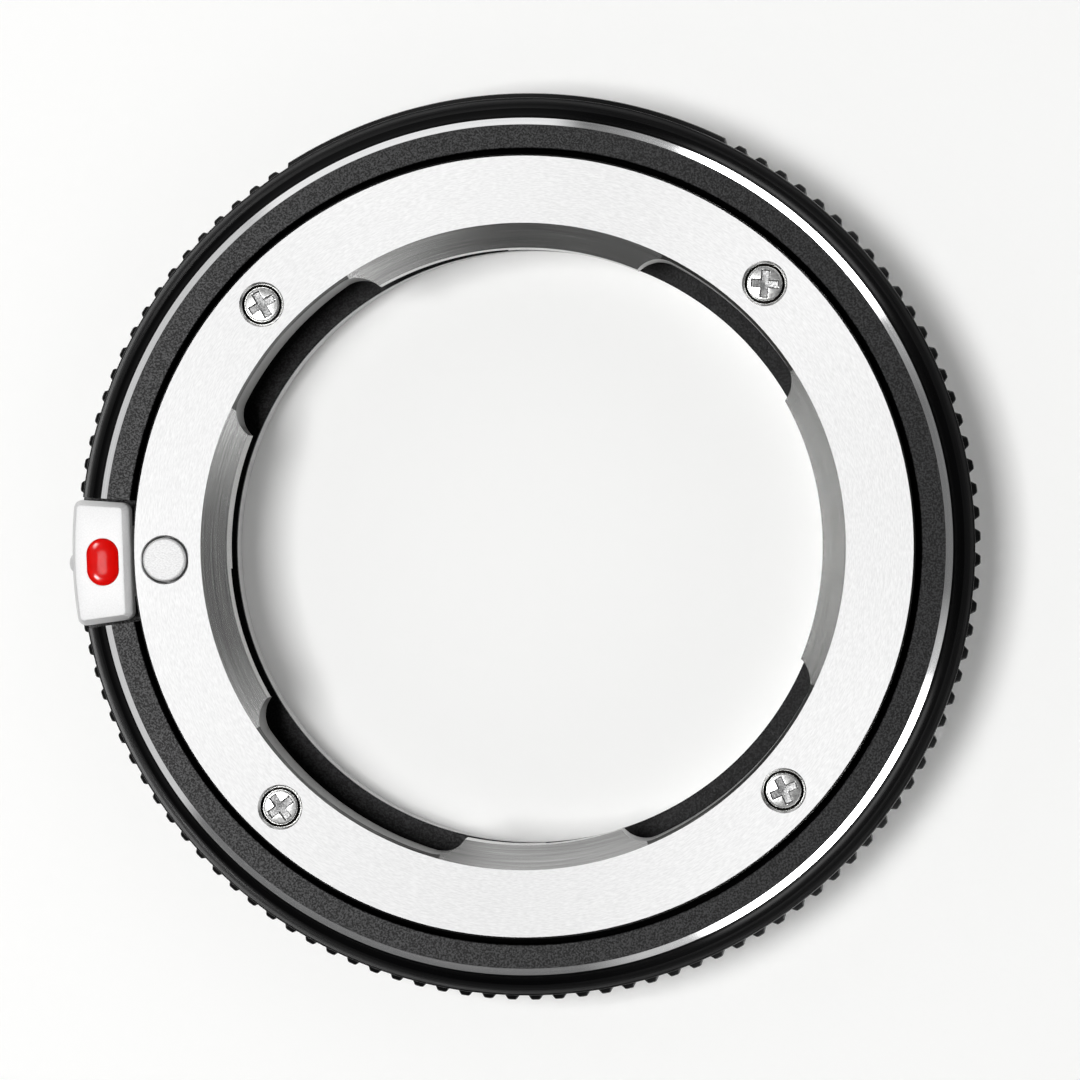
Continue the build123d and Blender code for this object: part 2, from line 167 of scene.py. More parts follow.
# Anodised aluminium, turned: the same black skin on cuts that were not blasted, so that it is darker and
# shines along fine rings, most on the collar. The tool's feed is about 0.05 mm, drawn at 0.09 mm to show.
feed_rings = {"pitch": 0.09 * mm, "run": 4 * mm, "dark": "#020202", "pale": "#070708",
              "rough": (0.22, 0.34), "bump": (0.25, 0.01 * mm)}
turning = lathed("turned_black_anodised_aluminium", Specular_IOR_Level=0.05, **feed_rings)
collar_turning = lathed("finely_turned_black_anodised_aluminium", Specular_IOR_Level=0.18, **feed_rings)

# Painted shade in the groove round the bayonet ring's seat: a flat, nearly black finish where shade falls,
# that gives back next to no light. Its specks are about 0.04 mm and are drawn at 0.12 mm.
groove_shade = grained("black_painted_shade_in_the_groove", 0.12 * mm, "#010101", "#080808", (0.8, 0.95),
                     Specular_IOR_Level=0.01)

# Bare aluminium, cut bright with a diamond: a nearly mirror-like line with faint rings, drawn at 0.12 mm.
bright_cut = lathed("diamond_cut_bare_aluminium", 0.12 * mm, 20 * mm, "#d9dadb", "#efefef", (0.10, 0.22),
                    Metallic=1.0)


def arc(centre_r, centre_z, radius, start, turn, steps=9):
    """Rows of a round in a turned profile: a circle's points about a centre, from a start angle through a
    turn."""
    angle = np.radians(np.linspace(start, start + turn, steps))
    return np.stack([centre_r + radius * np.cos(angle), centre_z + radius * np.sin(angle)], -1)


def turned(radius, height, angle):
    """Surface of revolution: a radius and a height for each row, and each column where they change round the
    axis, swept through the columns' angles in degrees."""
    turn = np.radians(angle)
    return np.stack(np.broadcast_arrays(radius * np.cos(turn), radius * np.sin(turn), height), -1)


def rounds(rows, angles):
    """Radius and height for each row and column: rows of a radius and a height, each one number for the whole
    round or one for each angle."""
    spread = [np.broadcast_arrays(radius, height, angles)[:2] for radius, height in rows]
    return np.array(spread).transpose(1, 0, 2)


def solid(name, grid, strips=0, ring=True):
    """Closed mesh over a grid of rows and columns of points. The columns close round; the rows close too in a
    ring, and otherwise the first and last row each shrink to a point. strips numbers the material of each
    row, or of each face."""
    rows, columns = grid.shape[:2]
    here = np.arange(rows * columns).reshape(rows, columns)
    above = np.roll(here, -1, 0)
    quads = np.stack([here, np.roll(here, -1, 1), np.roll(above, -1, 1), above], -1)
    quads = quads if ring else quads[:-1]
    mesh = bpy.data.meshes.new(name)
    mesh.from_pydata(grid.reshape(-1, 3).tolist(), [], quads.reshape(-1, 4).tolist())
    numbers = strips[:len(quads)] if np.ndim(strips) == 2 else np.reshape(strips, (-1, 1))
    numbers = np.broadcast_to(numbers, quads.shape[:2])
    mesh.polygons.foreach_set("material_index", numbers.ravel().astype(np.int32))
    shape = bmesh.new()
    shape.from_mesh(mesh)
    bmesh.ops.remove_doubles(shape, verts=shape.verts, dist=1e-7)
    bmesh.ops.recalc_face_normals(shape, faces=shape.faces)
    shape.to_mesh(mesh)
    shape.free()
    return mesh


def lofted(sections):
    """Grid of plan outlines, each at its own height: pairs of an outline and a height, one to a row."""
    return np.stack([np.column_stack([plan, np.full(len(plan), z)]) for plan, z in sections])


def prism(outline, low, high):
    """Upright solid: a star-shaped plan outline carried from one height to another, closed by fans to its
    middle."""
    middle = np.broadcast_to(outline.mean(0), outline.shape)
    sections = [(middle, low), (outline, low), (outline, high), (middle, high)]
    return solid("prism", lofted(sections), ring=False)


def circle(radius, x=0.0, y=0.0, steps=64):
    """Plan outline of a circle about a point."""
    turn = np.linspace(0, 2 * pi, steps, endpoint=False)
    return np.stack([x + radius * np.cos(turn), y + radius * np.sin(turn)], -1)


def capsule(length, width, x, y, turn, steps=24):
    """Plan outline of a slot with round ends, its length along a direction given in degrees."""
    angle = np.linspace(-pi / 2, pi / 2, steps)
    half = np.stack([(length - width) / 2 + width / 2 * np.cos(angle), width / 2 * np.sin(angle)], -1)
    outline = np.concatenate([half, -half])
    c, s = cos(radians(turn)), sin(radians(turn))
    return outline @ np.array([[c, s], [-s, c]]) + (x, y)


def wedge(near, far, near_half, far_half):
    """Plan outline of a slot on the lever's side: its half width at two distances from the optical axis."""
    return np.array([(-near, near_half), (-far, far_half), (-far, -far_half), (-near, -near_half)])


def on_circle(radius, angle):
    """The spot at an angle in degrees of a circle about the optical axis."""
    return radius * cos(radians(angle)), radius * sin(radians(angle))


def machined(mesh, tools, operation="DIFFERENCE"):
    """The mesh after each tool, a closed mesh, is cut out of it or joined to it."""
    work = bpy.data.objects.new("work", mesh)
    bpy.context.scene.collection.objects.link(work)
    cutters = []
    for tool in tools:
        cutter = bpy.data.objects.new("tool", tool)
        bpy.context.scene.collection.objects.link(cutter)
        step = work.modifiers.new("step", "BOOLEAN")
        step.object, step.operation, step.solver = cutter, operation, "EXACT"
        cutters.append(cutter)
    shape = bpy.data.meshes.new_from_object(work.evaluated_get(bpy.context.evaluated_depsgraph_get()))
    for spare in (work, *cutters):
        bpy.data.objects.remove(spare)
    return shape


def fit(name, mesh, node, body, slot, *finishes, crease=32):
    """Puts a mesh into the scene as a piece, smooth but for edges sharper than crease degrees, with the
    finishes given. It rides on a body and stands for a node.
    slot is not used."""
    for finish in finishes:
        mesh.materials.append(finish)
    mesh.polygons.foreach_set("use_smooth", np.ones(len(mesh.polygons), bool))
    mesh.set_sharp_from_angle(angle=radians(crease))
    piece = bpy.data.objects.new(name, mesh)
    bpy.context.scene.collection.objects.link(piece)
    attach(piece, body)
    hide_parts(node)
    return piece


# Twelve columns to each tooth: two flanks, a rounded crest and the floor between teeth
tooth_columns = np.array([-1.5, -1.05, -0.95, -0.62, -0.5, -0.3, 0.0, 0.3, 0.5, 0.62, 0.95, 1.05])
tooth_height = np.array([0.0, 0.02, 0.1, 0.8, 0.95, 1.0, 1.0, 1.0, 0.95, 0.8, 0.1, 0.02])
teeth = np.arange(0, 360, tooth_pitch) + tooth_phase
angles = (teeth[:, None] + tooth_columns).ravel()
crest = np.tile(tooth_height, len(teeth))
crest[(angles >= plain_arc[0]) & (angles <= plain_arc[1])] = 1.0

front = [
    (ledge_r, rear_z), (ledge_r, ledge_z - edge_break), (ledge_r + edge_break, ledge_z), (cavity_r, ledge_z),
    (cavity_r, seat_z), (recess_r, seat_z), (recess_r, rim_z - edge_break), (recess_r + edge_break, rim_z),
    (rim_r, rim_z), (neck_r, rim_z - bright_drop),
]
cove = arc(neck_r + cove_r, collar_z + cove_r, cove_r, 180, 90)
collar_edge = arc(collar_r - collar_edge_r, collar_z - collar_edge_r, collar_edge_r, 90, -90)
# Rows of the grip: how far in from each end of the teeth, and the share of their height reached there
tooth_end = np.array([(0.0, 0.0), (0.06, 0.55), (0.14, 0.88), (0.26, 1.0)])
grip_z = np.concatenate([grip_top_z - tooth_end[:, 0] * mm, grip_bottom_z + tooth_end[::-1, 0] * mm])
grip_share = np.concatenate([tooth_end[:, 1], tooth_end[::-1, 1]])
grip = collar_r + (grip_r - collar_r) * grip_share[:, None] * crest
skirt = [(collar_r, rear_z + skirt_chamfer), (collar_r - skirt_chamfer, rear_z)]
radius, height = rounds([*front, *cove, *collar_edge, *zip(grip, grip_z), *skirt], angles)

# The row from which each finish runs: the throat, its groove, the rim, the bright edge, the neck, the collar
# with the upper ends of the teeth, and the grip
# The groove round the ring's seat is painted black as shade.
body_finishes = (blasted, bright_cut, turning, groove_shade, collar_turning, shade_blasted)
groove_row, recess_row, bright_row = 4, 6, len(front) - 2
collar_row = len(front) + (len(cove) + len(collar_edge)) // 3
crest_row = len(front) + len(cove) + len(collar_edge) + len(tooth_end) - 1
strips = np.zeros(len(radius))
# The throat and the grip take the darker blasted finish, which is painted shade.
for first_row, finish in ((0, shade_blasted), (groove_row, groove_shade), (recess_row, blasted),
                          (bright_row, bright_cut), (bright_row + 1, turning), (collar_row, collar_turning),
                          (crest_row, shade_blasted)):
    strips[first_row:] = body_finishes.index(finish)
ring_body = solid("turned_body", turned(radius, height, angles), strips)
for finish in body_finishes:
    ring_body.materials.append(finish)

# The lever's notch, the slot for its neck, the wells of its springs, the slot for the camera's lock pin and
# the dimple for the index dot. Each tool reaches past the metal.
past, pocket_gap, side_gap = 1 * mm, 0.02 * mm, 0.2 * mm
lever_low, lever_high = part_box("release_lever")
lever_inner_x, lever_half_width, lever_taper = 27.07 * mm, 4.0 * mm, tan(radians(6.0))
lever_thickness, riser_thickness, press_room = 2.3 * mm, 0.9 * mm, 1.7 * mm
lever_bottom_z, neck_low_z = lever_high.z - lever_thickness, lever_low.z
notch_floor_z, pocket_floor_z = lever_bottom_z - press_room, neck_low_z - press_room
riser_x, neck_half = lever_inner_x + riser_thickness, 2.45 * mm
open_x, open_z = grip_r + 5 * past, lens_face_z + 5 * past
notch_half = lever_half_width + side_gap
notch = wedge(lever_inner_x - side_gap, open_x, notch_half - side_gap * lever_taper,
              notch_half + (open_x - lever_inner_x) * lever_taper)
neck_slot = wedge(ledge_r, riser_x + side_gap, neck_half + side_gap, neck_half + side_gap)
spring_x, spring_y = -29.4 * mm, 2.6 * mm
spring_spots = [(spring_x, -spring_y), (spring_x, spring_y)]
well_r, well_depth = 1.0 * mm, 3.5 * mm
well_floor_z = notch_floor_z - well_depth
camera_screw_circle = 26.3 * mm
lock_slot_angle, lock_slot_length, lock_slot_width, lock_slot_depth = 235.0, 4.0 * mm, 2.4 * mm, 0.9 * mm
lock_slot = capsule(lock_slot_length, lock_slot_width, *on_circle(camera_screw_circle, lock_slot_angle),
                    lock_slot_angle + 90)
dot_angle, dot_r, dot_depth = 90.7, 0.8 * mm, 0.35 * mm
dot_place = (Matrix.Translation((0, 0, (grip_top_z + grip_bottom_z) / 2))
             @ Matrix.Rotation(radians(dot_angle), 4, "Z") @ Matrix.Rotation(pi / 2, 4, "Y"))
dimple = prism(circle(dot_r + pocket_gap, steps=48), grip_r - dot_depth, grip_r + 2 * past)
dimple.transform(dot_place)
ring_body = machined(ring_body, [
    prism(notch, notch_floor_z, open_z),
    prism(neck_slot, pocket_floor_z, open_z),
    *(prism(circle(well_r, *spot, steps=40), well_floor_z, open_z) for spot in spring_spots),
    prism(lock_slot, rear_z - past, rear_z + lock_slot_depth),
    dimple,
])
black_body = fit("black_body", ring_body, "body_ring", "adapter", "black_anodised")

# Lens bayonet ring: turned brass with a satin chrome skin. A 45 degree mouth is turned in its tabs, and the
# four openings for the lens's lugs are milled through with a round cutter. Four screws hold it on the body's
# seat.
flange_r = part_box("lens_mount_ring")[1].x
tab_r, cutout_r, hub_r = 20.6 * mm, 22.0 * mm, 22.8 * mm
mouth_r = tab_r + 1.6 * mm
hub_end_z, lug_relief = lens_face_z - 4.0 * mm, 0.7 * mm
cutter_r = 2.0 * mm
cutter_path = cutout_r - cutter_r
cutter_lead = degrees(acos((tab_r**2 + cutter_path**2 - cutter_r**2) / (2 * tab_r * cutter_path)))
lug_cutouts = np.array([(26.9, 65.4), (116.9, 155.9), (208.4, 256.6), (287.1, 335.9)])  # degrees
flange_bevel, bevel_drop, wall_break, narrow_chamfer = 0.15 * mm, 0.33 * mm, 0.08 * mm, 0.3 * mm
ring_column = 0.5  # degrees
step_width = 0.01  # degrees, so that a step round the ring stands upright

# Satin chrome on the flange: nearly white under a lamp, with a slight fan of light and dark. The mouth and
# the walls were cut with a finer feed, so they mirror what stands round the table and look grey. The walls of
# the lug cutouts and the narrowest parts of the mouth are painted far darker, as shade, and keep the streaks
# of the milling cutter. The marks are 0.03 mm apart and are drawn at 0.07 mm to show.
chrome_marks = {"pitch": 0.07 * mm, "bump": (0.12, 0.01 * mm), "spread": (0.3, 0.7), "Metallic": 1.0}
chrome = lathed("satin_chrome_on_turned_brass", run=0.5 * mm, dark="#d8d8d8", pale="#e7e7e7",
                rough=(0.662, 0.69), Anisotropic=0.8, **chrome_marks)
fine_chrome = lathed("finely_turned_chromed_brass", run=9 * mm, dark="#9a9a99", pale="#c4c4c3",
                     rough=(0.17, 0.28), Anisotropic=0.5, **chrome_marks)
milled_with_shade = lathed("milled_chromed_brass_with_painted_shade", run=5 * mm, dark="#3a3a39", pale="#757574",
                rough=(0.24, 0.36), Anisotropic=0.3, **chrome_marks)

# Painted shade in the deep holes of the brass ring: nearly black, with a faint mottle, where shade falls
# round the screw heads.
hole_shade = grained("painted_shade_in_deep_holes", 0.3 * mm, "#0b0a09", "#2b2925", (0.5, 0.7), detail=3.0,
               Metallic=1.0)


def mouth(angle):
    """Inner radius of the ring round the axis: the tabs' radius, and in each cutout the cutter's path plus
    its own radius, with the cutter's arc at both ends."""
    radius = np.full_like(angle, tab_r)
    for opens, closes in lug_cutouts:
        beyond = np.maximum(opens + cutter_lead - angle, angle - closes + cutter_lead)
        bow = np.radians(np.clip(beyond, 0, cutter_lead))
        cut = cutter_path * np.cos(bow) + np.sqrt(cutter_r**2 - (cutter_path * np.sin(bow)) ** 2)
        radius = np.where(beyond < cutter_lead, np.maximum(radius, cut), radius)
    return radius


# Half of each tab, from its middle to the next cutout, is relieved underneath. Columns crowd in the cutter's
# arcs and stand in pairs at the steps.
starts, ends = lug_cutouts.T
tab_middles = (ends + np.append(starts[1:], starts[0] + 360)) / 2 % 360
arc_share = np.linspace(0, 1, 14) ** 2
arc_columns = np.concatenate([starts[:, None] + cutter_lead * arc_share,
                              ends[:, None] - cutter_lead * arc_share])
steps = np.concatenate([tab_middles, starts])[:, None] + (-step_width, step_width)
angles = np.unique(np.concatenate([np.arange(0, 360, ring_column), arc_columns.ravel(), steps.ravel()]))
relieved = np.any([(angles - middle) % 360 < (start - middle) % 360
                   for middle, start in zip(np.roll(tab_middles, 1), starts)], axis=0)
inner = mouth(angles)
under = hub_end_z + lug_relief * relieved
behind = np.maximum(inner + wall_break, cutout_r)
outside = [(hub_r, hub_end_z), (hub_r, seat_z), (flange_r, seat_z), (flange_r, lens_face_z - bevel_drop)]
radius, height = rounds([
    *outside, (flange_r - flange_bevel, lens_face_z), (mouth_r, lens_face_z),
    (inner, lens_face_z - (mouth_r - inner)), (inner, under + wall_break), (inner + wall_break, under),
    (behind, under), (behind, hub_end_z),
], angles)
face_row, chamfer_row, wall_row = np.arange(3) + len(outside)
ring_finishes = (chrome, fine_chrome, hole_shade, milled_with_shade)
strips = np.full_like(radius, ring_finishes.index(fine_chrome))
strips[face_row] = ring_finishes.index(chrome)
# Painted shade: the narrow chamfers and the walls of the lug cutouts take the dark milled finish.
strips[chamfer_row, mouth_r - inner < narrow_chamfer] = ring_finishes.index(milled_with_shade)
strips[wall_row, inner > tab_r] = ring_finishes.index(milled_with_shade)
lens_ring = solid("bayonet_ring", turned(radius, height, angles), strips)
for finish in ring_finishes:
    lens_ring.materials.append(finish)

lens_screw_circle, lens_head_r, lens_head_height = 24.5 * mm, 1.25 * mm, 1.0 * mm
lens_screw_angles = 45.0 + 90.0 * np.arange(4)
head_gap, shank_r, shank_gap = 0.13 * mm, 0.8 * mm, 0.25 * mm
screw_break, hole_break = 0.17 * mm, 0.07 * mm
pin_x, pin_r, pin_gap = -24.7 * mm, 1.5 * mm, 0.125 * mm


def bored(spot, profile, strips=0, steps=72):
    """Solid of revolution about an upright line through a spot: a profile of radius and height, closed on the
    line. strips numbers each row's material."""
    profile = np.array([(0.0, profile[0][1]), *profile, (0.0, profile[-1][1])])
    angle = np.linspace(0, 360, steps, endpoint=False)
    return solid("bored", turned(profile[:, :1], profile[:, 1:], angle) + (*spot, 0.0), strips, ring=False)


def bevelled_hole(hole_r, bevel):
    """Rows of a boring tool from above the flange down to its face, and in over a 45 degree bevel."""
    return [(hole_r + bevel + past, lens_face_z + past), (hole_r + bevel, lens_face_z),
            (hole_r, lens_face_z - bevel)]


counterbore = [
    *bevelled_hole(lens_head_r + head_gap, screw_break),
    (lens_head_r + head_gap, lens_face_z - lens_head_height),
    (shank_r + shank_gap, lens_face_z - lens_head_height), (shank_r + shank_gap, seat_z - past),
]
pin_hole = [*bevelled_hole(pin_r + pin_gap, hole_break), (pin_r + pin_gap, seat_z - past)]
bevel_row = 2
# Painted shade: the counterbores take the nearly black finish of the deep holes, but for their bevels.
bore_strips = np.full(len(counterbore) + 1, ring_finishes.index(hole_shade))
bore_strips[bevel_row] = ring_finishes.index(fine_chrome)
lens_ring = machined(lens_ring, [
    *(bored(on_circle(lens_screw_circle, angle), counterbore, bore_strips) for angle in lens_screw_angles),
    bored((pin_x, 0.0), pin_hole),
])
fit("bayonet_ring", lens_ring, "lens_mount_ring", "adapter", "satin_chrome")

# Screws of the lens ring: four small plated steel screws with cheese heads and driver crosses, sunk in their
# counterbores flush with the flange, each stopped at its own turn.
lens_screw_length, screw_point = 5.4 * mm, 0.3 * mm
lens_screw_turns = (83.0, 28.0, 34.0, 23.0)  # degrees
head_dome, head_edge = 0.10 * mm, 0.2 * mm
cross_arm, cross_width, cross_depth = 1.85 * mm, 0.52 * mm, 0.5 * mm
cross_wall, cross_rise = 0.07 * mm, 0.55

# Plated steel: cool and shiny, with driver scuffs and fine pits in the plating.
plated = grained("nickel_plated_steel", 0.2 * mm, "#a9a9a8", "#dededd", (0.2, 0.36), (0.2, 0.02 * mm), 3.0,
                 Metallic=1.0)

# Plating in the cross: greyer and darker than the face and rougher, with a coarse mottle and bumps.
cross_plating = grained("darker_plating_in_the_cross", 0.11 * mm, "#505050", "#c4c4c4", (0.28, 0.55),
               (0.8, 0.04 * mm), 3.0, Metallic=1.0)


def crossed(profile, face_rows, turn, steps=144):
    """A screw about its own line, head up: a turned profile of radius and depth whose first rows are the
    face. The cross sinks them by a depth that falls off over a sloping wall, and from the middle towards the
    arms' ends. Gives the grid, and the number of each face's material: 1 in the cross, 0 elsewhere."""
    angle = np.linspace(0, 360, steps, endpoint=False)
    grid = turned(profile[:, :1], profile[:, 1:], angle)
    face = grid[:face_rows]
    reach = np.hypot(face[..., 0], face[..., 1])
    swing = np.radians(angle - turn)
    along, aside = np.abs(reach * np.cos(swing)), np.abs(reach * np.sin(swing))
    long, short = np.maximum(along, aside), np.minimum(along, aside)
    beside = np.maximum(long - cross_arm / 2, short - cross_width / 2)
    sunk = np.clip(0.5 - beside / cross_wall, 0, 1)
    depth = cross_depth * (1 - cross_rise * reach / (cross_arm / 2))
    face[..., 2] -= sunk * sunk * (3 - 2 * sunk) * depth
    in_cross = np.zeros(grid.shape[:2])
    in_cross[:face_rows] = sunk > 0.5
    return grid, in_cross


def screw_face(edge_r, dome, rows=40):
    """Rows of a screw's face, from the middle out to the start of its edge: it falls off with the square of
    the distance."""
    reach = np.linspace(0, edge_r, rows)
    return np.stack([reach, -dome * (reach / edge_r) ** 2], -1)


def screw_end(length):
    """Rows of a screw's shank below its head: straight, then a chamfer, then closed on its line."""
    return [(shank_r, screw_point - length), (shank_r - screw_point, -length), (0.0, -length)]


cheese_face = screw_face(lens_head_r - head_edge, head_dome)
cheese_profile = np.concatenate([
    cheese_face, arc(lens_head_r - head_edge, -head_dome - head_edge, head_edge, 75, -75, 6),
    [(lens_head_r, -lens_head_height), (shank_r, -lens_head_height)], screw_end(lens_screw_length),
])
for number, angle in enumerate(lens_screw_angles):
    screw, in_cross = crossed(cheese_profile, len(cheese_face), lens_screw_turns[number])
    screw = screw + (*on_circle(lens_screw_circle, angle), lens_face_z)
    fit(f"ring_screw_{number + 1}", solid("ring_screw", screw, in_cross, ring=False),
        f"lens_mount_screw_{number + 1}", "adapter", "screw_steel", plated, cross_plating)

# Lock pin: a hard steel pin with a ground end, pressed into the neck of the lever. It stands up through the
# ring and drops into a hole in the lens.
pin_top_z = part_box("lock_pin")[1].z
pin_shank_r, neck_high_z = 0.95 * mm, neck_low_z + 1.5 * mm
pin_edge = 0.17 * mm
scratch_length, scratch_width, scratch_turn = 0.14 * mm, 0.08 * mm, radians(35)

# Ground steel: a pale, soft face with short scratches that run all one way.
ground, tree, shader = new_finish("ground_steel", Metallic=1.0)
place = add_node(tree, "ShaderNodeTexCoord").outputs["Object"]
stretch = add_node(tree, "ShaderNodeMapping", {
    "Vector": place, "Rotation": (0, 0, scratch_turn),
    "Scale": (1 / scratch_length, 1 / scratch_width, 1 / scratch_width),
}).outputs[0]
scratches = add_node(tree, "ShaderNodeTexNoise", {"Vector": stretch, "Scale": 1.0, "Detail": 3.0}).outputs[0]
dress(tree, shader, scratches, "#cccccc", "#e6e6e6", (0.675, 0.705), (0.1, 0.01 * mm), spread=(0.3, 0.7))

pin_profile = [
    *arc(pin_r - pin_edge, pin_top_z - pin_edge, pin_edge, 90, -90, 7), (pin_r, neck_high_z),
    (pin_shank_r, neck_high_z), (pin_shank_r, neck_low_z),
]
fit("ground_pin", bored((pin_x, 0.0), pin_profile, steps=96), "lock_pin", "release", "pin_steel", ground)

# Release lever: a zinc casting with a satin chrome skin. Its bevelled tab fills the notch in the rim, and its
# riser and neck run in under the ring to carry the pin. A low pip on the outer face is found by touch.
lever_outer_r, lever_corner, lever_top_z = 31.15 * mm, 0.6 * mm, lever_high.z
foot_break, tab_middle_x = 0.12 * mm, -29.1 * mm
overlap, neck_end_r = 0.2 * mm, 1.65 * mm
pip_r, pip_height = 0.6 * mm, 0.22 * mm
# Rows of the tab's top edge: how far in from the side, and how far below the top
bevel_rows = np.array([(0.0, 1.05), (0.02, 0.93), (0.06, 0.83), (0.3, 0.13), (0.37, 0.03), (0.46, 0.0)]) * mm

# Satin chrome on cast zinc: pale and even, with the fine sparkle of a bead-blasted skin under the plating.
satin = grained("satin_chrome_on_cast_zinc", 0.09 * mm, "#dfdfdf", "#f2f2f2", (0.68, 0.76),
                (0.25, 0.02 * mm), Metallic=1.0)


def lever_plan(inset, steps=12):
    """Plan outline of the tab, set in by an inset: a tapered core with an outer arc about the optical axis,
    grown by the corner radius less the inset along the direction in which each stretch of it faces."""
    grown = lever_corner - inset
    slope = lever_taper
    square = 1 + slope**2
    flank = lever_half_width - lever_inner_x * slope - lever_corner * sqrt(square)
    reach = lever_outer_r - lever_corner
    near_x = lever_inner_x + lever_corner
    far_x = (sqrt((slope * flank) ** 2 - square * (flank**2 - reach**2)) - slope * flank) / square
    near_y, far_y = flank + slope * near_x, flank + slope * far_x
    side = 90 - degrees(np.arctan(slope))
    corner = degrees(np.arctan2(far_y, far_x))
    inner_turn = np.linspace(0, side, steps)
    outer_turn = np.linspace(side, 180 - corner, steps)
    front_turn = np.linspace(180 - corner, 180, steps - 2)[1:]
    turn = np.radians(np.concatenate([inner_turn, outer_turn, front_turn]))
    front_angle = np.radians(front_turn)
    core_x = np.concatenate([np.full(steps, -near_x), np.full(steps, -far_x), reach * np.cos(front_angle)])
    core_y = np.concatenate([np.full(steps, near_y), np.full(steps, far_y), reach * np.sin(front_angle)])
    upper = np.stack([core_x + grown * np.cos(turn), core_y + grown * np.sin(turn)], -1)
    return np.concatenate([upper, upper[-2::-1] * (1, -1)])


tab_rows = [(foot_break, lever_bottom_z), (0.0, lever_bottom_z + foot_break),
            *((inset, lever_top_z - drop) for inset, drop in bevel_rows)]
tab_middle = np.full_like(lever_plan(0.0), (tab_middle_x, 0.0))
tab_sections = [(tab_middle, lever_bottom_z), *((lever_plan(inset), z) for inset, z in tab_rows),
                (tab_middle, lever_top_z)]
tab = solid("lever_tab", lofted(tab_sections), ring=False)
riser = prism(wedge(lever_inner_x + edge_break, riser_x, neck_half, neck_half), neck_low_z,
              lever_bottom_z + overlap)
# The neck is a flat strip with a round end, and its outline and the pin's hole in it share their columns
neck_end = np.linspace(-pi / 2, pi / 2, 24)
neck_plan = np.concatenate([
    [(pin_x, neck_half), (-riser_x, neck_half), (-riser_x, -neck_half), (pin_x, -neck_half)],
    np.stack([pin_x + neck_end_r * np.cos(neck_end), neck_end_r * np.sin(neck_end)], -1),
])
neck_reach = neck_plan - (pin_x, 0.0)
neck_facing = neck_reach / np.linalg.norm(neck_reach, axis=1, keepdims=True)
shank_hole = (pin_x, 0.0) + neck_facing * (pin_shank_r + pocket_gap)
neck = solid("neck", lofted([(shank_hole, neck_low_z), (neck_plan, neck_low_z), (neck_plan, neck_high_z),
                             (shank_hole, neck_high_z)]))
# The pip is the cap of a ball that reaches pip_height out of the tab's face
pip_ball = (pip_r**2 + pip_height**2) / (2 * pip_height)
pip_middle = (-(lever_outer_r + pip_height - pip_ball), 0.0, (lever_bottom_z + lever_top_z) / 2)
tilt = np.radians(np.linspace(-90, 90, 33))[:, None]
pip = turned(pip_ball * np.cos(tilt), pip_ball * np.sin(tilt), np.linspace(0, 360, 64, endpoint=False))
tab = machined(tab, [riser, neck, solid("pip", pip + pip_middle, ring=False)], "UNION")
bead_low, bead_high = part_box("lens_index_bead")
bead_x = (bead_low.x + bead_high.x) / 2
bead_width, bead_length = bead_high.x - bead_low.x, bead_high.y - bead_low.y
bead_pocket = capsule(bead_length + 2 * pocket_gap, bead_width + 2 * pocket_gap, bead_x, 0.0, 90)
tab = machined(tab, [prism(bead_pocket, bead_low.z, open_z)])
fit("lever_tab", tab, "release_lever", "release", "lever_chrome", satin)

# Index bead: a small oval cabochon of red enamel, set in a pocket in the lever's top. It marks where the lens
# goes in. Its dome is flat in the middle and falls off steeply at the edge.
bead_side_z, dome_flatness, dome_steepness = lever_top_z + 0.02 * mm, 2.4, 0.6
bead_outline = capsule(bead_length, bead_width, bead_x, 0.0, 90, 32)
spine_half = (bead_length - bead_width) / 2
bead_spine = np.column_stack([np.full(len(bead_outline), bead_x),
                              np.clip(bead_outline[:, 1], -spine_half, spine_half)])
bead_share = np.sin(np.linspace(pi / 2, 0, 20))
bead_dome = (1 - bead_share**dome_flatness) ** dome_steepness
bead_rows = [(0.0, bead_low.z), (1.0, bead_low.z),
             *zip(bead_share, bead_side_z + (bead_high.z - bead_side_z) * bead_dome)]
bead_grid = lofted([(bead_spine + share * (bead_outline - bead_spine), z) for share, z in bead_rows])

# Red enamel: a deep, glossy red, a little darker towards its edge where the dome turns away, with faint
# ripples.
enamel = grained("red_enamel", 0.8 * mm, "#cc0502", "#e00a05", (0.34, 0.42), (0.1, 0.03 * mm),
                 Specular_IOR_Level=0.01, Coat_Weight=0.09, Coat_Roughness=0.12)
bead = fit("red_bead", solid("red_bead", bead_grid, ring=False), "lens_index_bead", "release", "red_bead",
           enamel, crease=60)

# Return springs: two coils of drawn steel wire in wells under the lever. They push it and the pin back up
# after it is pressed.
wire_r, coil_r, coil_turns = 0.15 * mm, 0.7 * mm, 4.0

# Drawn spring steel: grey and smooth, with streaks of the draw.
drawn = grained("drawn_spring_steel", 0.1 * mm, "#8e8e8f", "#b4b4b4", (0.2, 0.35), Metallic=1.0)


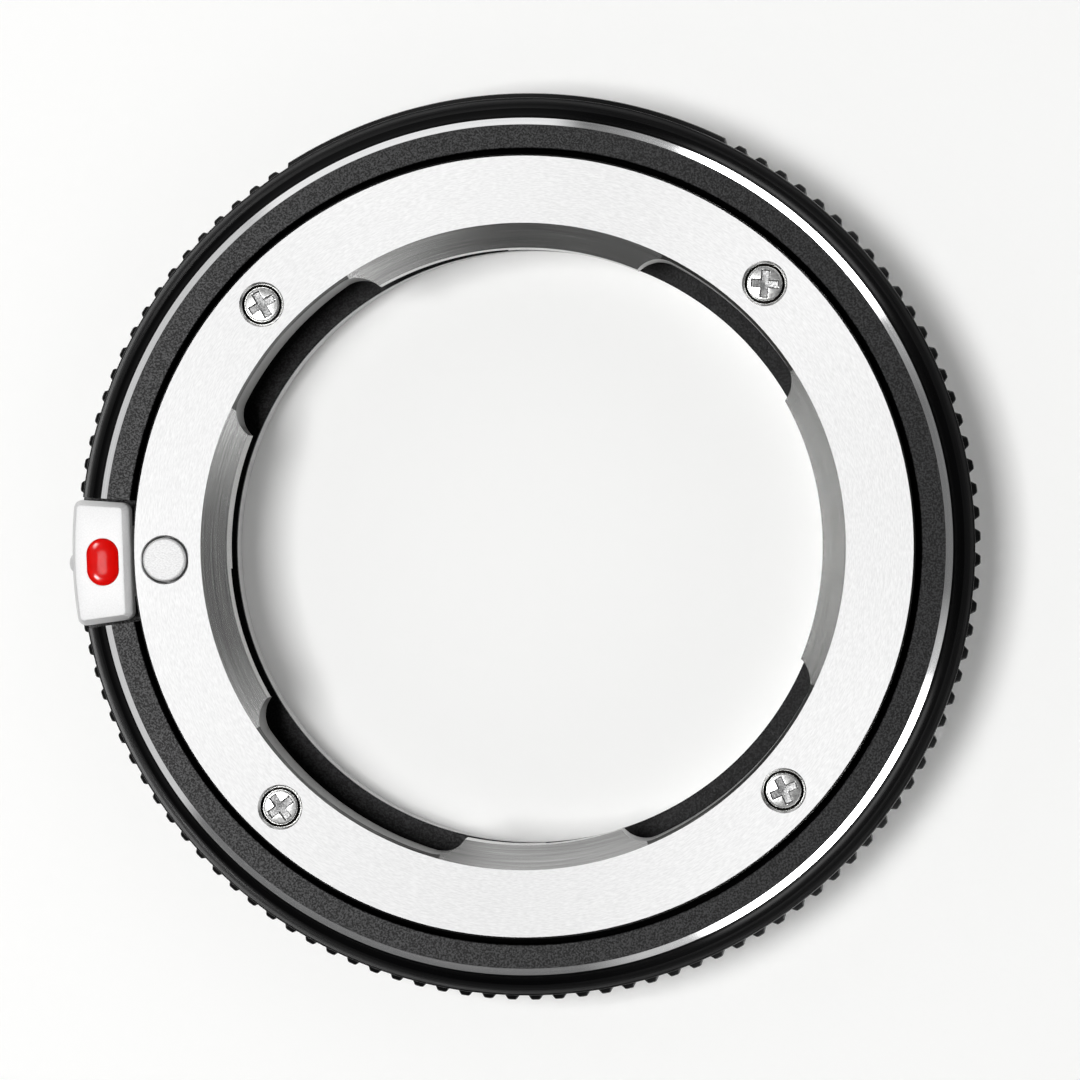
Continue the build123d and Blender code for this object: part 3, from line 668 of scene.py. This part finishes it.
def coil(spot, low, high, steps=240, sides=10):
    """Round wire along a helix about an upright line: at each step a circle lies across the path, and the two
    ends shrink to a point."""
    turn = np.linspace(0, 2 * pi * coil_turns, steps)
    rise = (high - low - 2 * wire_r) / turn[-1]
    tangent = np.stack([-coil_r * np.sin(turn), coil_r * np.cos(turn), np.full(steps, rise)], -1)
    tangent /= np.linalg.norm(tangent, axis=1, keepdims=True)
    outward = np.stack([np.cos(turn), np.sin(turn), np.zeros(steps)], -1)
    upward = np.cross(outward, tangent)
    middle = np.stack([np.full(steps, spot[0]), np.full(steps, spot[1]), low + wire_r + rise * turn], -1)
    path = coil_r * outward + middle
    around = np.linspace(0, 2 * pi, sides, endpoint=False)[None, :, None]
    tube = path[:, None] + wire_r * (np.cos(around) * outward[:, None] + np.sin(around) * upward[:, None])
    ends = [np.broadcast_to(path[end], (1, sides, 3)) for end in (0, -1)]
    return np.concatenate([ends[0], tube, ends[1]])


for number, spot in enumerate(spring_spots):
    node = f"lever_spring_{number + 1}"
    low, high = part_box(node)
    wire = solid("return_spring", coil(spot, low.z, high.z), ring=False)
    spring = fit(f"return_spring_{number + 1}", wire, node, "adapter", "spring_steel", drawn)
    height = lever_bottom_z - well_floor_z
    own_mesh(spring)

# Camera bayonet ring: the chromed brass mount at the back, a flange with a short barrel and three lugs,
# turned and milled from one piece. Four countersunk screws hold it, and the camera's lock pin drops into its
# slot.
camera_face_z = 2.5 * mm
barrel_bore_r, barrel_r, lug_r, rear_flange_r = 21.05 * mm, 21.8 * mm, 23.0 * mm, 29.6 * mm
rear_bevel, lug_edge, lug_thickness = 0.2 * mm, 0.12 * mm, 1.25 * mm
camera_lugs = ((30.0, 46.0), (150.0, 46.0), (270.0, 58.0))  # middle and width in degrees
rear_column = 0.75  # degrees
lug_ends = np.array([(middle - width / 2, middle + width / 2) for middle, width in camera_lugs]).ravel()
steps = lug_ends[:, None] + (-step_width, step_width)
angles = np.unique(np.concatenate([np.arange(0, 360, rear_column), steps.ravel()]))
in_lug = np.any([np.abs((angles - middle + 180) % 360 - 180) < width / 2
                 for middle, width in camera_lugs], axis=0)
lug = np.where(in_lug, lug_r, barrel_r)
radius, height = rounds([
    (barrel_bore_r, rear_z), (rear_flange_r, rear_z), (rear_flange_r, camera_face_z + rear_bevel),
    (rear_flange_r - rear_bevel, camera_face_z), (barrel_r, camera_face_z), (barrel_r, lug_thickness),
    (np.maximum(lug - lug_edge, barrel_r), lug_thickness), (lug, lug_thickness - lug_edge), (lug, lug_edge),
    (lug - lug_edge, 0.0), (barrel_bore_r + lug_edge, 0.0), (barrel_bore_r, lug_edge),
], angles)
camera_head_r = 1.75 * mm
camera_screw_angles = 15.0 + 90.0 * np.arange(4)
countersink = [
    (camera_head_r + pocket_gap + past, camera_face_z - past), (camera_head_r + pocket_gap, camera_face_z),
    (shank_r + pocket_gap, camera_face_z + camera_head_r - shank_r), (shank_r + pocket_gap, rear_z + past),
]
camera_ring = machined(solid("rear_bayonet", turned(radius, height, angles)), [
    *(bored(on_circle(camera_screw_circle, angle), countersink) for angle in camera_screw_angles),
    prism(lock_slot, camera_face_z - past, rear_z + past),
])
fit("rear_bayonet", camera_ring, "camera_mount_ring", "adapter", "satin_chrome", chrome)

# Screws of the camera ring: four plated steel screws with flat countersunk heads and driver crosses, driven
# through the flange into the body until they are flush with the mounting face.
camera_screw_length, flat_break = 3.6 * mm, 0.05 * mm
first_turn, next_turn = 20.0, 37.0  # degrees
flat_face = screw_face(camera_head_r - flat_break, 0.0)
flat_profile = np.concatenate([
    flat_face, [(camera_head_r, -flat_break), (shank_r, shank_r - camera_head_r)],
    screw_end(camera_screw_length),
])
for number, angle in enumerate(camera_screw_angles):
    screw, in_cross = crossed(flat_profile, len(flat_face), first_turn + next_turn * number)
    screw = screw * (1, 1, -1) + (*on_circle(camera_screw_circle, angle), camera_face_z)
    fit(f"rear_screw_{number + 1}", solid("rear_screw", screw, in_cross, ring=False),
        f"camera_mount_screw_{number + 1}", "adapter", "screw_steel", plated, cross_plating)

# Camera index dot: white enamel that fills a drilled dimple in the plain arc of the grip. It dried a little
# hollow, just below the surface.
dot_sink, dot_hollow = 0.05 * mm, 0.03 * mm
dot_reach = np.linspace(0, dot_r, 10)
dot_front = np.stack([dot_reach, grip_r - dot_sink - dot_hollow * np.cos(pi / 2 * dot_reach / dot_r)], -1)
dot_profile = np.concatenate([dot_front, [(dot_r, grip_r - dot_depth), (0.0, grip_r - dot_depth)]])
dot = turned(dot_profile[:, :1], dot_profile[:, 1:], np.linspace(0, 360, 48, endpoint=False))
dot = solid("white_dot", dot, ring=False)
dot.transform(dot_place)

# White enamel: a warm white fill with a soft gloss and slight brush ripples.
white_fill = grained("white_enamel", 0.3 * mm, "#dfddd6", "#efeeea", (0.3, 0.45), (0.2, 0.02 * mm), 3.0,
                     IOR=1.52)
fit("white_dot", dot, "camera_index_dot", "adapter", "white_fill", white_fill)

# Table: a wide sheet of white paper under the adapter. It is a little whiter to the camera and in mirrors
# than the lamps make it, with no more light on the object.
paper_half, paper_z, paper_lift = 1.5, -0.02 * mm, 0.075
paper = bpy.data.meshes.new("paper")
corners = [(-1, -1), (1, -1), (1, 1), (-1, 1)]
paper.from_pydata([(x * paper_half, y * paper_half, paper_z) for x, y in corners], [], [(0, 1, 2, 3)])

# Paper: matt white with a faint cloudiness of its fibres, 0.7 mm across.
fibre_cloud = 0.7 * mm
matt, tree, shader = new_finish("white_paper", Roughness=0.9, Specular_IOR_Level=0.0)
place = add_node(tree, "ShaderNodeTexCoord").outputs["Object"]
fibres = add_node(tree, "ShaderNodeTexNoise", {"Vector": place, "Scale": 1 / fibre_cloud, "Detail": 5.0})
tone = add_node(tree, "ShaderNodeMix", {0: fibres.outputs[0], 6: linear("#f7f7f6"), 7: linear("#fbfbfa")},
                data_type="RGBA")
rays = add_node(tree, "ShaderNodeLightPath").outputs
seen = rays["Is Camera Ray"]
for ray in ("Is Glossy Ray", "Is Transmission Ray"):
    seen = add_node(tree, "ShaderNodeMath", {0: seen, 1: rays[ray]}, operation="MAXIMUM").outputs[0]
lift = add_node(tree, "ShaderNodeMath", {0: seen, 1: paper_lift}, operation="MULTIPLY")
tree.links.new(tone.outputs[2], shader.inputs["Base Color"])
tree.links.new(tone.outputs[2], shader.inputs["Emission Color"])
tree.links.new(lift.outputs[0], shader.inputs["Emission Strength"])
paper.materials.append(matt)
floor = bpy.data.objects.new("paper", paper)
bpy.context.scene.collection.objects.link(floor)

# Studio: grey walls that are pale low down, one soft lamp above and to the left, and a round of white and
# grey cards that stand on the paper for the metal to mirror.
wall_foot, wall_top, foot_level, top_level = 0.12, 0.4, 0.85, 0.25
world = bpy.data.worlds.new("studio")
bpy.context.scene.world = world
world.use_nodes = True
tree = world.node_tree
facing = add_node(tree, "ShaderNodeTexCoord").outputs["Generated"]
rise = add_node(tree, "ShaderNodeSeparateXYZ", {0: facing}).outputs["Z"]
wall = add_node(tree, "ShaderNodeMapRange", {"Value": rise, "From Min": wall_foot, "From Max": wall_top,
                                             "To Min": foot_level, "To Max": top_level})
tree.links.new(wall.outputs[0], tree.nodes["Background"].inputs["Strength"])
tree.nodes["Background"].inputs["Color"].default_value = linear("#ffffff")


def soft_lamp(name, side, energy, place):
    """A square lamp at a place, aimed at the origin, that the camera doesn't see."""
    lamp = bpy.data.lights.new(name, "AREA")
    lamp.shape, lamp.size, lamp.energy = "SQUARE", side, energy
    holder = bpy.data.objects.new(name, lamp)
    holder.location = place
    holder.rotation_euler = (-Vector(place)).to_track_quat("-Z", "Y").to_euler()
    holder.visible_camera = False
    bpy.context.scene.collection.objects.link(holder)
    return holder


soft_lamp("key_lamp", side=0.14, energy=1.75, place=(-0.105, -0.005, 0.49))
# Two windows beyond the lever, that only the gloss of the bead and of the body shows: piece, side and energy
window_places = ((-0.21, 0.182, 0.288), (-0.195, -0.142, 0.32))
for piece, side, energy in ((bead, 0.1, 6.0), (black_body, 0.028, 0.2)):
    shown_on = bpy.data.collections.new(f"{piece.name}_gloss")
    shown_on.objects.link(piece)
    for place in window_places:
        window = soft_lamp(f"{piece.name}_window", side, energy, place)
        window.visible_diffuse = False
        window.light_linking.receiver_collection = shown_on

# Cards on a grey backdrop: the middle and width of each in degrees round the table, its level, and the width
# of its soft edges. Low strips of light stand at their foot.
backdrop = 0.2
pale_cards = ((50, 40, 1.0, 24), (106, 44, 1.1, 8), (172, 86, 0.27, 8), (262, 9, 0.08, 9),
              (311, 57, 1.1, 24))
light_strips = ((50, 32, 9.0, 5), (50, 54, 0.4, 8), (106, 44, 1.0, 4), (172, 86, 0.7, 4),
                (315, 44, 9.0, 5), (313, 70, 0.6, 8))
card_angles = np.arange(0, 361, 1.0)
card_reach, strip_height, card_height = 57 * mm, 14 * mm, 45 * mm


def card_levels(cards):
    """How bright the round of cards is at each angle: the backdrop, raised inside each card over soft
    edges."""
    level = np.full(len(card_angles), backdrop)
    for middle, width, bright, edge in cards:
        inside = width / 2 - np.abs((card_angles - middle + 180) % 360 - 180)
        level += (bright - backdrop) * np.clip(inside / edge + 0.5, 0, 1)
    return level


card_rows = np.array([0.0, strip_height, strip_height, card_height])[:, None]
cards = turned(card_reach, card_rows, card_angles)
card_tones = np.stack([card_levels(light_strips)] * 2 + [card_levels(pale_cards)] * 2)
here = np.arange(cards.size // 3).reshape(len(card_rows), -1)
quads = np.stack([here[:-1, :-1], here[:-1, 1:], here[1:, 1:], here[1:, :-1]], -1)
card_mesh = bpy.data.meshes.new("cards")
card_mesh.from_pydata(cards.reshape(-1, 3).tolist(), [], quads[::2].reshape(-1, 4).tolist())
tone = card_mesh.attributes.new("tone", "FLOAT", "POINT")
tone.data.foreach_set("value", card_tones.ravel().astype(np.float32))
card_paint = bpy.data.materials.new("card")
card_paint.use_nodes = True
tree = card_paint.node_tree
tree.nodes.remove(tree.nodes["Principled BSDF"])
level = add_node(tree, "ShaderNodeAttribute", attribute_name="tone").outputs["Fac"]
glow = add_node(tree, "ShaderNodeEmission", {"Color": linear("#ffffff"), "Strength": level})
tree.links.new(glow.outputs[0], tree.nodes["Material Output"].inputs["Surface"])
card_mesh.materials.append(card_paint)
card_round = bpy.data.objects.new("cards", card_mesh)
for ray in ("camera", "diffuse", "shadow", "transmission", "volume_scatter"):
    setattr(card_round, f"visible_{ray}", False)
bpy.context.scene.collection.objects.link(card_round)

# Camera: a long lens almost straight above the adapter, turned a little about its axis, as the photograph
# was taken.
view_turn = Matrix.Rotation(radians(-2.13), 3, "Z")
lens_station = view_turn @ Vector((24.148, 0.005, 313.035)) * mm
aim = view_turn @ Vector((1.284, 0.442, 12.3)) * mm
forward = (aim - lens_station).normalized()
right = forward.cross(view_turn @ Vector((0, 1, 0))).normalized()
upright = right.cross(forward)
camera = bpy.data.cameras.new("camera")
camera.lens, camera.sensor_width, camera.sensor_fit = 146.67, 36.0, "HORIZONTAL"
camera.clip_start = 0.01
station = bpy.data.objects.new("camera", camera)
station.matrix_world = Matrix((right, upright, -forward)).transposed().to_4x4()
station.location = lens_station
bpy.context.scene.collection.objects.link(station)
bpy.context.scene.camera = station
bpy.context.scene.view_settings.view_transform = "Standard"
